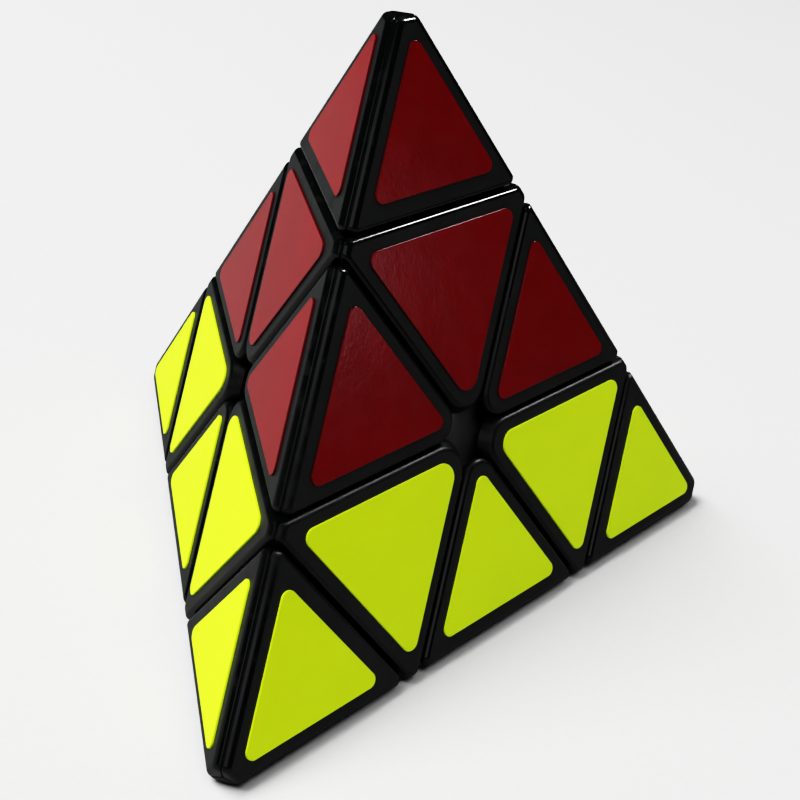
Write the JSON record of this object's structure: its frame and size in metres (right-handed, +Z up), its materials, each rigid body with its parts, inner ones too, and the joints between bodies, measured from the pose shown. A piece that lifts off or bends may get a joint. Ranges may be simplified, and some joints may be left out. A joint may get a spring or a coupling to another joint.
{
  "type": "pyramid twisty puzzle",
  "caption": "Glossy black tetrahedral twisty puzzle in layers, with turning tips, sprung axial pieces, edge pieces and rounded film stickers in red over fluorescent yellow.",
  "frame": {"origin": "centre of the core, where the axes of the corners meet", "axes": "+Z up through the top corner, square to the base face; -Y towards the front corner of the base"},
  "size_m": [0.0914, 0.08, 0.0753],
  "materials": {
    "shell_plastic": "glossy black moulded ABS with a fine satin grain on the flats",
    "inner_plastic": "plain black moulded plastic",
    "core_plastic": "smooth black moulded ball shell",
    "red_film": "glossy deep red vinyl film with a faint orange-peel surface",
    "yellow_film": "glossy fluorescent yellow vinyl film",
    "spring_steel": "bright drawn spring wire",
    "screw_steel": "zinc-plated steel"
  },
  "bodies": {
    "core": {"core_spider": "inner_plastic", "core_ball_upper": "core_plastic", "core_ball_lower": "core_plastic", "axle_screws": "screw_steel", "lower_washers": "screw_steel", "front_spring": "spring_steel", "right_spring": "spring_steel", "left_spring": "spring_steel", "lower_left_edge_base_half": "shell_plastic", "lower_left_edge_foot": "inner_plastic", "lower_left_edge_left_half": "shell_plastic", "lower_left_edge_stickers": "yellow_film", "lower_rear_edge_base_half": "shell_plastic", "lower_rear_edge_foot": "inner_plastic", "lower_rear_edge_rear_half": "shell_plastic", "lower_rear_edge_stickers": "yellow_film", "lower_right_edge_base_half": "shell_plastic", "lower_right_edge_foot": "inner_plastic", "lower_right_edge_right_half": "shell_plastic", "lower_right_edge_stickers": "yellow_film"},
    "top_layer": {"top_washer": "screw_steel", "top_spring": "spring_steel", "upper_front_edge_foot": "inner_plastic", "upper_front_edge_left_half": "shell_plastic", "upper_front_edge_right_half": "shell_plastic", "upper_front_edge_stickers": "red_film", "upper_left_edge_foot": "inner_plastic", "upper_left_edge_left_half": "shell_plastic", "upper_left_edge_rear_half": "shell_plastic", "upper_left_edge_stickers": "red_film", "upper_right_edge_foot": "inner_plastic", "upper_right_edge_rear_half": "shell_plastic", "upper_right_edge_right_half": "shell_plastic", "upper_right_edge_stickers": "red_film"},
    "top_axial": {"top_axial_base": "inner_plastic", "top_axial_shells": "shell_plastic", "top_axial_stickers": "red_film"},
    "top_tip": {"top_tip_stem": "inner_plastic", "top_tip_shells": "shell_plastic", "top_tip_stickers": "red_film"},
    "front_axial": {"front_axial_base": "inner_plastic", "front_axial_shells": "shell_plastic", "front_axial_stickers": "yellow_film"},
    "front_tip": {"front_tip_stem": "inner_plastic", "front_tip_shells": "shell_plastic", "front_tip_stickers": "yellow_film"},
    "right_axial": {"right_axial_base": "inner_plastic", "right_axial_shells": "shell_plastic", "right_axial_stickers": "yellow_film"},
    "right_tip": {"right_tip_stem": "inner_plastic", "right_tip_shells": "shell_plastic", "right_tip_stickers": "yellow_film"},
    "left_axial": {"left_axial_base": "inner_plastic", "left_axial_shells": "shell_plastic", "left_axial_stickers": "yellow_film"},
    "left_tip": {"left_tip_stem": "inner_plastic", "left_tip_shells": "shell_plastic", "left_tip_stickers": "yellow_film"}
  },
  "joints": [
    {"name": "top_layer_turn", "type": "hinge", "parent": "core", "child": "top_layer", "pos_m": [0, 0, 0], "axis": [0, 0, 1], "continuous": true},
    {"name": "top_axial_float", "type": "slide", "parent": "top_layer", "child": "top_axial", "axis": [0, 0, 1], "range_m": [0, 0.0008], "deforming": ["top_spring"]},
    {"name": "front_axial_float", "type": "slide", "parent": "core", "child": "front_axial", "axis": [0, -0.9428, -0.3333], "range_m": [0, 0.0008], "deforming": ["front_spring"]},
    {"name": "right_axial_float", "type": "slide", "parent": "core", "child": "right_axial", "axis": [0.8165, 0.4714, -0.3333], "range_m": [0, 0.0008], "deforming": ["right_spring"]},
    {"name": "left_axial_float", "type": "slide", "parent": "core", "child": "left_axial", "axis": [-0.8165, 0.4714, -0.3333], "range_m": [0, 0.0008], "deforming": ["left_spring"]},
    {"name": "top_tip_turn", "type": "hinge", "parent": "top_axial", "child": "top_tip", "pos_m": [0, 0, 0.03354], "axis": [0, 0, 1], "continuous": true},
    {"name": "front_tip_turn", "type": "hinge", "parent": "front_axial", "child": "front_tip", "pos_m": [0, -0.03162, -0.01118], "axis": [0, -0.9428, -0.3333], "continuous": true},
    {"name": "right_tip_turn", "type": "hinge", "parent": "right_axial", "child": "right_tip", "pos_m": [0.02739, 0.01581, -0.01118], "axis": [0.8165, 0.4714, -0.3333], "continuous": true},
    {"name": "left_tip_turn", "type": "hinge", "parent": "left_axial", "child": "left_tip", "pos_m": [-0.02739, 0.01581, -0.01118], "axis": [-0.8165, 0.4714, -0.3333], "continuous": true}
  ]
}
